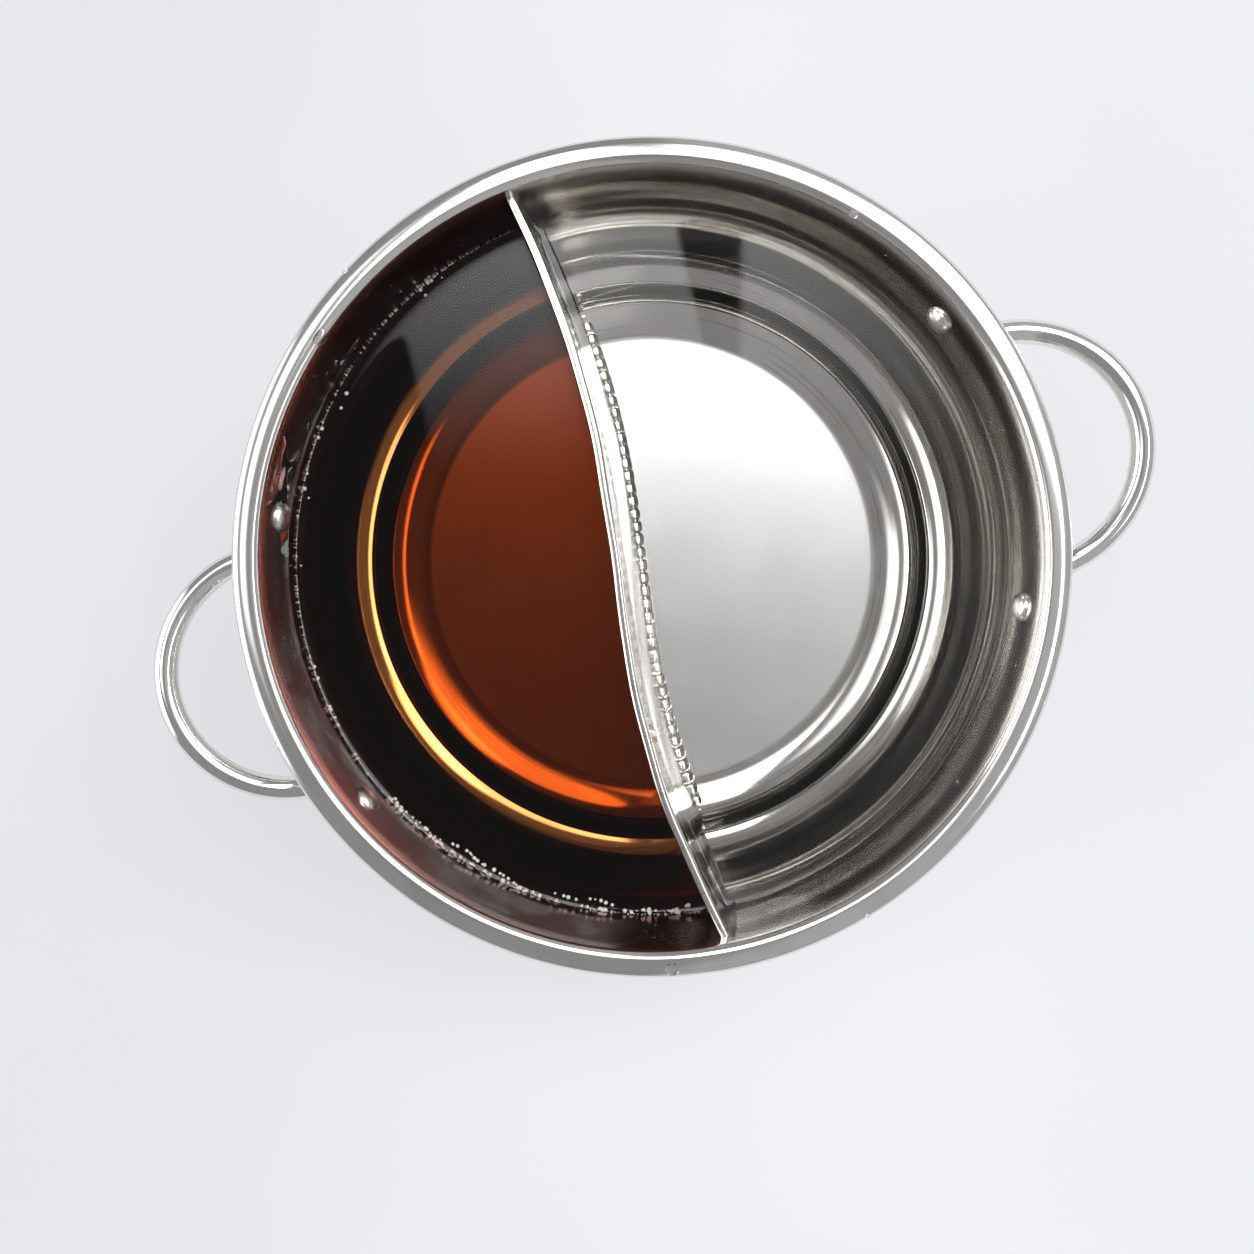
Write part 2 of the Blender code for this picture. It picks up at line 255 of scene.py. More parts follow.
divider = dict(
    top=87 * mm,
    plate=1.2 * mm,
    x=-12.5 * mm,
    lean=8 * mm,
    swing=7.3 * mm,
    halfLength=138 * mm,
    farLength=150 * mm,
    hemWidth=3.4 * mm,
    hemHeight=5 * mm,
    weldWidth=2.8 * mm,
    weldHeight=2.6 * mm,
    weldPitch=5.2 * mm,
    weldDip=0.55,                     # how far the weld sinks between two beads
    weldSpread=(0.75, 1.25),          # from the shallowest dip to the deepest
    intoFloor=0.4 * mm,
    crown=0.75,                       # the hem's rounded top: its rise as a share of its half width
    crownSweep=78,                    # and how many degrees of the arc it has
    plateWave=0.12 * mm,
    hemWave=0.10 * mm,
    intoWall=0.5 * mm,
    stations=560,
)
# heights in mm at which the plate has a row of points, close together where the wall is stepped
plateRows = (8, 9, 10, 11, 12, 16, 22, 28, 31, 33, 34, 35, 36, 37, 38.5,
             41, 44, 47, 50, 53, 56, 59, 64, 70, 76)


def sCurve(y):
    halfWave = divider["farLength"] if y > 0 else divider["halfLength"]
    return divider["swing"] * math.sin(math.pi * y / halfWave)


def leanAt(z):
    share = (divider["top"] - z) / (divider["top"] - pot["floorTop"])
    return divider["x"] + divider["lean"] * share


def endY(offset, z, side, reach):
    # where the S meets the wall at a height, on the face that lies offset to +X
    y = side * divider["halfLength"]
    radius = wallRadius(z, reach)
    for _ in range(12):
        x = sCurve(y) + leanAt(z) + offset
        y = side * math.sqrt(max(0, radius**2 - x**2))
    return y


def dividerSection():
    # (offset from the plate's middle, z, share of weld ripple), right side from the foot up
    half = divider["plate"] / 2
    foot = pot["floorTop"] - divider["intoFloor"]
    right = [(half + divider["weldWidth"], foot, 1)]
    for step in range(7):
        angle = math.radians(90 * step / 6)
        out = half + divider["weldWidth"] * math.cos(angle) * 0.98
        right.append((out, pot["floorTop"] + divider["weldHeight"] * math.sin(angle), 1))
    plateTop = divider["top"] - divider["hemHeight"]
    right += [(half, z * mm, 0) for z in plateRows]
    right.append((half, plateTop, 0))
    hemHalf = divider["hemWidth"] / 2
    right.append((hemHalf * 0.8, plateTop + 0.35 * mm, 0))
    right.append((hemHalf, plateTop + 1.0 * mm, 0))
    crown = hemHalf * divider["crown"]
    flat = divider["top"] - crown
    right.append((hemHalf, flat - 1 * mm, 0))
    for step in range(7):
        angle = math.radians(divider["crownSweep"] * step / 6)
        right.append((hemHalf * math.cos(angle), flat + crown * math.sin(angle), 0))
    left = [(-out, z, ripple) for out, z, ripple in reversed(right)]
    return right + left


def makeDivider(material):
    bm = bmesh.new()
    rng = random.Random(7)
    count = divider["stations"]
    beads = [rng.uniform(*divider["weldSpread"]) for _ in range(80)]
    rings = []
    for station in range(count + 1):
        share = 2 * station / count - 1
        ring = []
        for out, z, ripple in dividerSection():
            end = endY(out, z, 1 if share >= 0 else -1, divider["intoWall"])
            y = abs(share) * end
            bead = (y + divider["halfLength"]) / divider["weldPitch"]
            within = bead - math.floor(bead)
            swell = 1 - divider["weldDip"] * ripple * (2 * within - 1) ** 6 * beads[int(bead) % len(beads)]
            face = out * swell
            if not ripple:
                face += divider["plateWave"] * math.sin(y / (9 * mm) + z / (6 * mm))
            if z > divider["top"] - divider["hemHeight"]:
                face += divider["hemWave"] * math.sin(y / (6 * mm))
            height = pot["floorTop"] + (z - pot["floorTop"]) * swell
            ring.append((sCurve(y) + leanAt(z) + face, y, height))
        rings.append(ring)
    rows = skinRings(bm, rings, cap=False)
    for row in (rows[0], rows[-1]):
        # the ends follow the stepped wall, so each is a strip of narrow quads
        last = len(row) - 1
        for i in range(len(row) // 2 - 1):
            bm.faces.new((row[i], row[i + 1], row[last - i - 1], row[last - i]))
    piece = linkMesh("divider_plate", bm, 50)
    finishPiece(piece, material, "divider_steel", "divider")


# Broths

broth = dict(
    level=59 * mm,
    intoWall=0.35 * mm,               # past the steel's face, so that no air shows
    meniscusHeight=0.9 * mm,
    meniscusReach=1.5 * mm,
    swell=0.012 * mm,
    alongStations=300,
    acrossStations=110,
)


def brothEdge(side, z, reach):
    # the plate face that the broth leans on, from one end to the other, just inside the plate
    out = side * (divider["plate"] / 2 - reach)
    low = endY(out, z, -1, reach)
    high = endY(out, z, 1, reach)
    count = broth["alongStations"]
    points = []
    for step in range(count + 1):
        share = 0.5 - 0.5 * math.cos(math.pi * step / count)
        y = low + (high - low) * share
        points.append(Vector((sCurve(y) + leanAt(z) + out, y, z)))
    return points


def wallEdge(side, z, reach, ends):
    radius = wallRadius(z, reach)
    startAngle = math.atan2(ends[0].y, ends[0].x)
    endAngle = math.atan2(ends[1].y, ends[1].x)
    sweep = endAngle - startAngle
    if side < 0:
        sweep -= 2 * math.pi
    count = broth["alongStations"]
    points = []
    for step in range(count + 1):
        share = 0.5 - 0.5 * math.cos(math.pi * step / count)
        points.append(around(radius, startAngle + sweep * share, z))
    return points


waterRadius = wallRadius(broth["level"])


def surfaceHeight(point, seed):
    # the meniscus at the steel and the faint swell of a liquid at rest
    wall = waterRadius - point.to_2d().length
    plate = abs(point.x - sCurve(point.y) - leanAt(broth["level"])) - divider["plate"] / 2
    climb = broth["meniscusHeight"] * (math.exp(-max(0, wall) / broth["meniscusReach"])
                                       + math.exp(-max(0, plate) / broth["meniscusReach"]))
    swell = broth["swell"] * (math.sin(point.x / (23 * mm) + seed) + math.sin(point.y / (17 * mm) - seed))
    return min(climb, 1.3 * broth["meniscusHeight"]) + swell


def makeBroth(name, side, material, slotName, node):
    bm = bmesh.new()
    reach = broth["intoWall"]
    level = broth["level"]
    inner = brothEdge(side, level, reach)
    outer = wallEdge(side, level, reach, (inner[0], inner[-1]))
    across = broth["acrossStations"]
    rows = []
    for step in range(across + 1):
        share = 0.5 - 0.5 * math.cos(math.pi * step / across)
        row = []
        for a, b in zip(inner, outer):
            point = a.lerp(b, share)
            point.z = level + surfaceHeight(point, side * 1.7)
            row.append(bm.verts.new(point))
        rows.append(row)
    skinGrid(bm, rows)
    # below the surface the body follows the steel, and nobody sees its own skin
    loops = [list(rows[0]) + list(reversed(rows[-1]))[1:-1]]
    heights = sorted({round(z / mm, 3) for _, z in lowerFace(reach)}, reverse=True)
    for height in [height for height in heights if height * mm < level - 1 * mm]:
        z = height * mm
        near = brothEdge(side, z, reach)
        far = wallEdge(side, z, reach, (near[0], near[-1]))
        ring = near + list(reversed(far))[1:-1]
        loops.append([bm.verts.new(point) for point in ring])
    skinLoops(bm, loops)
    bm.faces.new(loops[-1])
    piece = linkMesh(name, bm, 60, 1e-6)
    finishPiece(piece, material, slotName, node)


# Handles and rivets

handle = dict(
    height=75 * mm,
    centreX=140.45 * mm,
    bend=44 * mm,
    lift=4 * mm,
    tube=4.5 * mm,
    earHalfThickness=1 * mm,
    earHalfHeight=7 * mm,
    earStart=math.radians(20.5),
    earEnd=math.radians(28.2),
    earRounding=7 * mm,
    earSquareness=0.6,
    neckPull=4.5 * mm,
    neckFlatness=0.25,
    bendStations=40,
    neckStations=18,
    earStations=16,
    sides=32,
)
rivet = dict(
    angle=math.radians(23.4),
    shank=2 * mm,
    gap=0.5 * mm,
    innerHead=5.6 * mm,
    innerRise=3.2 * mm,
    outerHead=4 * mm,
    outerRise=1.5 * mm,
    turns=48,
)


def onWall(angle, offset):
    return around(wallRadius(handle["height"], offset), angle, handle["height"])


def wallUp(angle):
    return around(math.sin(pot["flare"]), angle, math.cos(pot["flare"]))


def earOffset():
    return pot["sheet"] + rivet["gap"] + handle["earHalfThickness"]


def bezier(start, pullStart, pullEnd, end, share):
    rest = 1 - share
    return (start * rest**3 + pullStart * 3 * rest**2 * share
            + pullEnd * 3 * rest * share**2 + end * share**3)


def halfHandle():
    # stations from the handle's middle to an ear's tip: point, up, flatness, share of height
    up = Vector((0, 0, 1))
    stations = []
    count = handle["bendStations"]
    for step in range(count + 1):
        angle = math.radians(90 * step / count)
        point = Vector((handle["centreX"], 0, handle["height"]))
        point += handle["bend"] * Vector((math.cos(angle), math.sin(angle), 0))
        point.z += handle["lift"] * math.cos(angle) ** 2
        near = max(0, (step / count - 0.8) / 0.2)
        stations.append((point, up, handle["neckFlatness"] * near**2, 1))
    start = stations[-1][0]
    end = onWall(handle["earStart"], earOffset())
    alongWall = Vector((-math.sin(handle["earStart"]), math.cos(handle["earStart"]), 0))
    pullStart = start + Vector((-handle["neckPull"], 0, 0))
    pullEnd = end - alongWall * handle["neckPull"]
    for step in range(1, handle["neckStations"] + 1):
        share = step / handle["neckStations"]
        point = bezier(start, pullStart, pullEnd, end, share)
        smooth = share * share * (3 - 2 * share)
        tilt = up.lerp(wallUp(handle["earStart"]), share)
        flatness = handle["neckFlatness"] + (1 - handle["neckFlatness"]) * min(1, smooth * 1.15)
        stations.append((point, tilt, flatness, 1))
    sweep = handle["earEnd"] - handle["earStart"]
    earLength = wallRadius(handle["height"], earOffset()) * sweep
    for step in range(1, handle["earStations"] + 1):
        share = math.sin(math.radians(90 * step / handle["earStations"]))
        angle = handle["earStart"] + sweep * share
        past = max(0, share * earLength - (earLength - handle["earRounding"])) / handle["earRounding"]
        height = max(0.12, math.sqrt(max(0, 1 - past**2)))
        stations.append((onWall(angle, earOffset()), wallUp(angle), 1, height))
    return stations


def tubeRing(point, along, up, flatness, height):
    side = along.cross(up).normalized()
    over = side.cross(along).normalized()
    halfWidth = handle["tube"] + (handle["earHalfThickness"] - handle["tube"]) * flatness
    halfHeight = handle["tube"] + (handle["earHalfHeight"] - handle["tube"]) * flatness
    ring = []
    for k in range(handle["sides"]):
        angle = 2 * math.pi * (k + 0.5) / handle["sides"]
        across = max(-1, min(1, math.cos(angle) * (1 + handle["earSquareness"] * flatness)))
        ring.append(point + side * halfWidth * across + over * halfHeight * height * math.sin(angle))
    return ring


def makeHandle(name, turn, material, node):
    half = halfHandle()
    mirror = Matrix.Diagonal((1, -1, 1))
    stations = [(mirror @ point, mirror @ up, *rest) for point, up, *rest in half[:0:-1]] + half
    points = [station[0] for station in stations]
    rings = []
    for i, (point, up, flatness, height) in enumerate(stations):
        along = points[min(i + 1, len(points) - 1)] - points[max(i - 1, 0)]
        rings.append(tubeRing(point, along.normalized(), up, flatness, height))
    bm = bmesh.new()
    skinRings(bm, rings)
    bmesh.ops.rotate(bm, verts=bm.verts, cent=(0, 0, 0), matrix=Matrix.Rotation(turn, 3, "Z"))
    piece = linkMesh(name, bm, 45)
    finishPiece(piece, material, "handle_steel", node)


def makeRivet(name, turn, angle, material, node):
    earFace = earOffset() + handle["earHalfThickness"] + 0.05 * mm
    profile = []
    for step in range(13):
        bow = math.radians(90 * step / 12)
        profile.append((rivet["innerHead"] * math.sin(bow), -rivet["innerRise"] * math.cos(bow)))
    profile[-1] = (rivet["innerHead"], 0)
    profile += [(rivet["innerHead"], 0.2 * mm), (rivet["shank"], 0.2 * mm),
                (rivet["shank"], earFace), (rivet["outerHead"], earFace)]
    for step in range(1, 10):
        bow = math.radians(90 * step / 9)
        profile.append((rivet["outerHead"] * math.cos(bow), earFace + rivet["outerRise"] * math.sin(bow)))
    bm = bmesh.new()
    turnProfile(bm, profile, rivet["turns"])
    out = around(1, angle, -math.tan(pot["flare"]))
    place = Matrix.Translation(onWall(angle, 0)) @ out.to_track_quat("Z", "Y").to_matrix().to_4x4()
    bmesh.ops.transform(bm, verts=bm.verts, matrix=Matrix.Rotation(turn, 4, "Z") @ place)
    piece = linkMesh(name, bm, 35)
    finishPiece(piece, material, "handle_steel", node)


# Water on the steel: drops, a torn film on the wall and bubbles along the red broth's edge

wet = dict(
    # angles are in degrees, anticlockwise from the image's right
    # drops on the lip: angle, radius and width
    lipDrops=((145.7, 141.3 * mm, 5.6 * mm), (59.7, 141.1 * mm, 3.4 * mm), (273.1, 146.4 * mm, 5.0 * mm),
              (136.3, 148.8 * mm, 2.0 * mm), (301.6, 148.8 * mm, 2.4 * mm), (340.5, 148.9 * mm, 1.8 * mm)),
    lipRise=1.0 * mm,
    specks=((118, 285, 90), (285, 470, 26)),       # from, to, how many
    speckWidth=(0.5 * mm, 1.5 * mm),
    bubbles=((222, 277, 130), (150, 222, 18), (119, 150, 6)),
    bubbleWidth=(0.5 * mm, 1.8 * mm),
    bubbleWaves=((1.2 * mm, 17), (0.6 * mm, 43)),  # the bubbles' inner edge: how far, how many a turn
    bubbleInsets=(0.4 * mm, 2.1 * mm),             # at the wall, or further in with the waves
    beads=(113, 282, 380),
    beadWidth=(0.25 * mm, 0.7 * mm),
    beadRise=0.3 * mm,
    film=(136, 179),
    filmLow=66 * mm,
    filmHigh=88 * mm,
    filmRise=2.2 * mm,
    filmSink=0.05 * mm,                            # where it is dry it lies this far inside the steel
    filmAround=140,
    filmUp=60,
)
seam = dict(
    below=30 * mm,                                 # how far it goes down from the broths' level
    underTop=2 * mm,
    radius=0.75 * mm,
    ripple=0.15,
    ripplePitch=0.5 * mm,
    offset=0.5 * mm,
    steps=60,
    sides=10,
)


def imageAngle(degrees):
    return math.radians(degrees) - view["turn"]


def lipPoint(angle, radius):
    # the place on the lip's upper side and the direction away from the steel there
    path = [point for point in sheetFace(0, 2) if point[1] > pot["height"] - 6 * mm]
    for (low, z), (high, nextZ) in zip(path, path[1:]):
        if low <= radius <= high:
            share = (radius - low) / (high - low)
            place = around(radius, angle, z + (nextZ - z) * share)
            return place, around(z - nextZ, angle, high - low).normalized()
    raise ValueError("no lip at that radius")


def roundTemplate(subdivisions):
    bm = bmesh.new()
    bmesh.ops.create_icosphere(bm, subdivisions=subdivisions, radius=1)
    bm.verts.index_update()
    points = [vert.co.copy() for vert in bm.verts]
    faces = [[vert.index for vert in face.verts] for face in bm.faces]
    bm.free()
    return points, faces


coarseRound = roundTemplate(2)
fineRound = roundTemplate(3)


def addDome(bm, place, normal, width, rise):
    # a drop that sits on a surface, its lower half nearly flat inside it
    points, faces = fineRound if width > 2 * mm else coarseRound
    turn = normal.to_track_quat("Z", "Y").to_matrix()
    verts = []
    for point in points:
        height = point.z * (rise if point.z > 0 else 0.15 * rise)
        spot = place + turn @ Vector((point.x * width / 2, point.y * width / 2, height))
        spot.z = min(spot.z, cadBox[1].z - 0.02 * mm)   # no drop stands over the lip
        verts.append(bm.verts.new(spot))
    for face in faces:
        bm.faces.new([verts[i] for i in face])


def makeDrops(material):
    rng = random.Random(11)
    bm = bmesh.new()
    for degrees, radius, width in wet["lipDrops"]:
        place, normal = lipPoint(imageAngle(degrees), radius)
        addDome(bm, place, normal, width, min(wet["lipRise"], 0.3 * width))
    for start, end, count in wet["specks"]:
        for _ in range(count):
            angle = imageAngle(rng.uniform(start, end))
            z = broth["level"] + rng.triangular(2, 30, 8) * mm
            width = rng.uniform(*wet["speckWidth"])
            inward = -around(math.cos(pot["flare"]), angle, -math.sin(pot["flare"]))
            addDome(bm, around(wallRadius(z), angle, z), inward, width, 0.5 * width)
    piece = linkMesh("water_drops", bm, 180)
    finishPiece(piece, material, "clear_broth")


def makeBubbles(material):
    rng = random.Random(5)
    bm = bmesh.new()
    atWall, further = wet["bubbleInsets"]
    for start, end, count in wet["bubbles"]:
        for _ in range(count):
            degrees = rng.uniform(start, end)
            angle = imageAngle(degrees)
            wave = 0
            for reach, turns in wet["bubbleWaves"]:
                wave += reach * math.sin(math.radians(degrees) * turns)
            inset = rng.choice((atWall, further + wave)) + rng.uniform(0, 0.5) * mm
            width = rng.uniform(*wet["bubbleWidth"])
            place = around(waterRadius - inset, angle, broth["level"])
            place.z += surfaceHeight(place, -1.7)
            addDome(bm, place, Vector((0, 0, 1)), width, 0.4 * width)
    # the fine bright line where the broth's edge clings to the wall: a painted highlight, pale beads
    # standing in for the meniscus's reflection of the light
    start, end, count = wet["beads"]
    for _ in range(count):
        angle = imageAngle(rng.uniform(start, end))
        radius = waterRadius - rng.uniform(0.05, 0.35) * mm
        place = around(radius, angle, broth["level"] + broth["meniscusHeight"])
        addDome(bm, place, Vector((0, 0, 1)), rng.uniform(*wet["beadWidth"]), wet["beadRise"])
    piece = linkMesh("broth_bubbles", bm, 180)
    finishPiece(piece, material, "clear_broth")


def makeFilm(material):
    # water still running down the wall; where it ends it dips just under the steel's face
    bm = bmesh.new()
    low, high = wet["film"]
    steps, rises = wet["filmAround"], wet["filmUp"]
    rows = []
    for i in range(steps + 1):
        degrees = low + (high - low) * i / steps
        angle = imageAngle(degrees)
        row = []
        for j in range(rises + 1):
            z = wet["filmLow"] + (wet["filmHigh"] - wet["filmLow"]) * j / rises
            lump = noise.noise(Vector((degrees / 8, z / (19 * mm), 2.3)))
            lump += 0.35 * noise.noise(Vector((degrees / 3, z / (8 * mm), 7.1)))
            edge = min(1, i / 14, (steps - i) / 14, j / 8, (rises - j) / 8)
            rise = wet["filmRise"] * min(0.8, lump + 0.1) * edge
            row.append(bm.verts.new(around(wallRadius(z) - max(-wet["filmSink"], rise), angle, z)))
        rows.append(row)
    skinGrid(bm, rows)
    piece = linkMesh("splash_film", bm, 180)
    finishPiece(piece, material, "clear_broth")


def makeSeams(material):
    # a thin weld where each end of the divider meets the wall, on the clear side
    low = broth["level"] - seam["below"]
    high = divider["top"] - seam["underTop"]
    out = divider["plate"] / 2 + seam["offset"]
    bm = bmesh.new()
    for end in (-1, 1):
        rings = []
        for step in range(seam["steps"] + 1):
            z = low + (high - low) * step / seam["steps"]
            y = endY(out, z, end, 0)
            place = Vector((sCurve(y) + leanAt(z) + out, y, z))
            bead = seam["radius"] * (1 + seam["ripple"] * math.sin(z / seam["ripplePitch"]))
            angles = [2 * math.pi * k / seam["sides"] for k in range(seam["sides"])]
            rings.append([place + around(bead, angle, 0) for angle in angles])
        skinRings(bm, rings)
    piece = linkMesh("divider_seams", bm, 180)
    finishPiece(piece, material, "divider_steel")


# Materials

def newGroup(name, inputs, outputs):
    group = bpy.data.node_groups.new(name, "ShaderNodeTree")
    for label, kind, value in inputs:
        socket = group.interface.new_socket(label, in_out="INPUT", socket_type=kind)
        socket.default_value = value
    for label, kind in outputs:
        group.interface.new_socket(label, in_out="OUTPUT", socket_type=kind)
    return group, group.nodes.new("NodeGroupInput"), group.nodes.new("NodeGroupOutput")


def addMath(tree, operation, *values):
    node = tree.nodes.new("ShaderNodeMath")
    node.operation = operation
    for socket, value in zip(node.inputs, values):
        if isinstance(value, (int, float)):
            socket.default_value = value
        else:
            tree.links.new(value, socket)
    return node.outputs[0]


def addRamp(tree, value, low, high, toLow=0.0, toHigh=1.0):
    node = tree.nodes.new("ShaderNodeMapRange")
    node.interpolation_type = "SMOOTHSTEP"
    for label, given in (("From Min", low), ("From Max", high), ("To Min", toLow), ("To Max", toHigh)):
        if isinstance(given, (int, float)):
            node.inputs[label].default_value = given
        else:
            tree.links.new(given, node.inputs[label])
    tree.links.new(value, node.inputs["Value"])
    return node.outputs["Result"]


def addRadius(tree, x, y):
    squares = [addMath(tree, "MULTIPLY", side, side) for side in (x, y)]
    return addMath(tree, "SQRT", addMath(tree, "ADD", *squares))


def addProduct(tree, *values):
    result = values[0]
    for value in values[1:]:
        result = addMath(tree, "MULTIPLY", result, value)
    return result


def addPlace(tree):
    return tree.nodes.new("ShaderNodeTexCoord").outputs["Object"]


def addParts(tree, vector):
    node = tree.nodes.new("ShaderNodeSeparateXYZ")
    tree.links.new(vector, node.inputs[0])
    return node.outputs


def addNoise(tree, vector, scale, detail=2.0, w=None):
    node = tree.nodes.new("ShaderNodeTexNoise")
    node.inputs["Scale"].default_value = scale
    node.inputs["Detail"].default_value = detail
    tree.links.new(vector, node.inputs["Vector"])
    if w is not None:
        node.noise_dimensions = "4D"
        tree.links.new(w, node.inputs["W"])
    return node.outputs["Fac"]


def blend(tree, factor, low, high):
    node = tree.nodes.new("ShaderNodeMix")
    node.data_type = "RGBA"
    for label, given in (("Factor", factor), ("A", low), ("B", high)):
        if isinstance(given, (tuple, float)):
            node.inputs[label].default_value = given
        else:
            tree.links.new(given, node.inputs[label])
    return node.outputs["Result"]


tones = dict(
    steel=(0.73, 0.71, 0.68, 1),
    smudged=(0.62, 0.595, 0.56, 1),
    scored=(0.50, 0.44, 0.36, 1),
    satin=(0.59, 0.585, 0.58, 1),
    # film: a brown stain on the wall over the red broth, its tint also a painted reflection of the broth
    film=(0.30, 0.15, 0.14, 1),
    white=(1, 1, 1, 1),
    black=(0, 0, 0, 1),
    # foam: pale bubbles, partly real foam colour and partly painted glints
    foamAndGlint=(0.95, 0.93, 0.9, 1),
    foamShade=(0.6, 0.5, 0.46, 1),
    paper=((0.77, 0.78, 0.81, 1), (0.865, 0.87, 0.895, 1)),
    # the same paper with painted shade, for the floor's side towards the image's left
    paperShadedLeft=((0.70, 0.71, 0.74, 1), (0.79, 0.795, 0.82, 1)),
)


spun = dict(
    out=520,                          # steps of the noise in a metre away from the axis
    up=170,                           # and up the wall
    turn=0.8,                         # how much it changes round the axis
    lineScale=3.1,                    # scored lines are this much finer than the rings
    smudges=38,
    depth=0.02 * mm,
)


def spunSteelGroup():
    # marks that the spinning and polishing leave: rings round the axis, scored lines, smudges
    group, given, result = newGroup(
        "spunSteel",
        [("Ring Strength", "NodeSocketFloat", 0.3), ("Ring Scale", "NodeSocketFloat", 1.0),
         ("Smudge Strength", "NodeSocketFloat", 0.05), ("Roughness", "NodeSocketFloat", 0.1)],
        [("Tint", "NodeSocketColor"), ("Roughness", "NodeSocketFloat"), ("Normal", "NodeSocketVector")],
    )
    links = group.links
    place = addPlace(group)
    x, y, z = addParts(group, place)
    radius = addRadius(group, x, y)
    # noise that changes fast with radius and height and slowly round the axis
    safeRadius = addMath(group, "ADD", radius, 0.001)
    scale = given.outputs["Ring Scale"]
    strength = given.outputs["Ring Strength"]
    ringPlace = group.nodes.new("ShaderNodeCombineXYZ")
    links.new(addProduct(group, radius, scale, spun["out"]), ringPlace.inputs[0])
    links.new(addProduct(group, z, scale, spun["up"]), ringPlace.inputs[1])
    along = addMath(group, "DIVIDE", x, safeRadius)
    links.new(addProduct(group, along, spun["turn"]), ringPlace.inputs[2])
    turned = addProduct(group, addMath(group, "DIVIDE", y, safeRadius), spun["turn"])
    rings = addNoise(group, ringPlace.outputs[0], 1.0, 1, turned)
    lines = addRamp(group, addNoise(group, ringPlace.outputs[0], spun["lineScale"], 0, turned), 0.6, 0.72)
    smudge = addNoise(group, place, spun["smudges"])
    height = addMath(group, "SUBTRACT", addProduct(group, rings, strength),
                     addProduct(group, lines, strength, 0.08))
    bump = group.nodes.new("ShaderNodeBump")
    bump.inputs["Strength"].default_value = 1.0
    bump.inputs["Distance"].default_value = spun["depth"]
    links.new(height, bump.inputs["Height"])
    links.new(bump.outputs[0], result.inputs["Normal"])
    spread = addMath(group, "SUBTRACT", smudge, 0.45)
    rough = addMath(group, "ADD", given.outputs["Roughness"],
                    addProduct(group, spread, given.outputs["Smudge Strength"]))
    rough = addMath(group, "ADD", rough, addProduct(group, rings, 0.02))
    links.new(addMath(group, "MAXIMUM", rough, 0.02), result.inputs["Roughness"])
    tint = blend(group, addRamp(group, smudge, 0.35, 0.7), tones["steel"], tones["smudged"])
    links.new(blend(group, addProduct(group, lines, 0.55), tint, tones["scored"]), result.inputs["Tint"])
    return group


def newMaterial(name):
    material = bpy.data.materials.new(name)
    material.use_nodes = True
    return material, material.node_tree, material.node_tree.nodes["Principled BSDF"]


def steel(name, group, ringStrength, ringScale, smudge, roughness, polish=0.0, satin=None):
    # polish: how far the colour goes to white; satin: how much rougher the floor and the wall are
    material, tree, shader = newMaterial(name)
    marks = tree.nodes.new("ShaderNodeGroup")
    marks.node_tree = group
    marks.inputs["Ring Strength"].default_value = ringStrength
    marks.inputs["Ring Scale"].default_value = ringScale
    marks.inputs["Smudge Strength"].default_value = smudge
    marks.inputs["Roughness"].default_value = roughness
    shader.inputs["Metallic"].default_value = 1.0
    tree.links.new(marks.outputs["Normal"], shader.inputs["Normal"])
    rough = marks.outputs["Roughness"]
    colour = marks.outputs["Tint"]
    if polish:
        colour = blend(tree, polish, colour, tones["white"])
    if satin:
        place = addPlace(tree)
        x, y, z = addParts(tree, place)
        radius = addRadius(tree, x, y)
        floor = addRamp(tree, radius, pot["floorRadius"] + 1 * mm, pot["floorRadius"] - 1 * mm)
        ringed = addMath(tree, "SUBTRACT", 1.0, addProduct(tree, floor, 0.99))
        tree.links.new(addProduct(tree, ringed, ringStrength), marks.inputs["Ring Strength"])
        wall = addRamp(tree, z, broth["level"] - 22 * mm, broth["level"] - 8 * mm)
        rough = addMath(tree, "ADD", rough, addProduct(tree, floor, satin[0]))
        rough = addMath(tree, "ADD", rough, addProduct(tree, wall, satin[1]))
        colour = blend(tree, addProduct(tree, floor, 0.95), colour, tones["satin"])
        polished = addRamp(tree, z, pot["height"] - 9 * mm, pot["height"] - 6 * mm)
        colour = blend(tree, addProduct(tree, polished, 0.3), colour, tones["white"])
        # a thin brown film that the red broth left on the wall over it; its brown tint is also a painted
        # reflection of the red broth in the polished wall
        overBroth = addRamp(tree, z, broth["level"] - 1 * mm, broth["level"] + 1 * mm)
        belowLip = addRamp(tree, z, pot["height"] - 5 * mm, pot["height"] - 9 * mm)
        redSide = addRamp(tree, x, -8 * mm, -12 * mm)
        trueNormal = tree.nodes.new("ShaderNodeNewGeometry").outputs["True Normal"]
        normalX, normalY, _ = addParts(tree, trueNormal)
        facing = addMath(tree, "ADD", addProduct(tree, x, normalX), addProduct(tree, y, normalY))
        inside = addMath(tree, "LESS_THAN", facing, 0.0)
        patches = addRamp(tree, addNoise(tree, place, 55), 0.38, 0.62, 0.45, 1.0)
        film = addProduct(tree, overBroth, belowLip, redSide, inside, patches)
        colour = blend(tree, film, colour, tones["film"])
        rough = addMath(tree, "ADD", rough, addProduct(tree, film, 0.1))
    tree.links.new(colour, shader.inputs["Base Color"])
    tree.links.new(rough, shader.inputs["Roughness"])
    return material


def rippleGroup():
    # the faint ripple of a liquid at rest
    group, given, result = newGroup(
        "ripple",
        [("Scale", "NodeSocketFloat", 45.0), ("Depth", "NodeSocketFloat", 0.006 * mm)],
        [("Normal", "NodeSocketVector")],
    )
    waves = group.nodes.new("ShaderNodeTexNoise")
    group.links.new(addPlace(group), waves.inputs["Vector"])
    group.links.new(given.outputs["Scale"], waves.inputs["Scale"])
    bump = group.nodes.new("ShaderNodeBump")
    bump.inputs["Strength"].default_value = 1.0
    group.links.new(given.outputs["Depth"], bump.inputs["Distance"])
    group.links.new(waves.outputs["Fac"], bump.inputs["Height"])
    group.links.new(bump.outputs[0], result.inputs["Normal"])
    return group


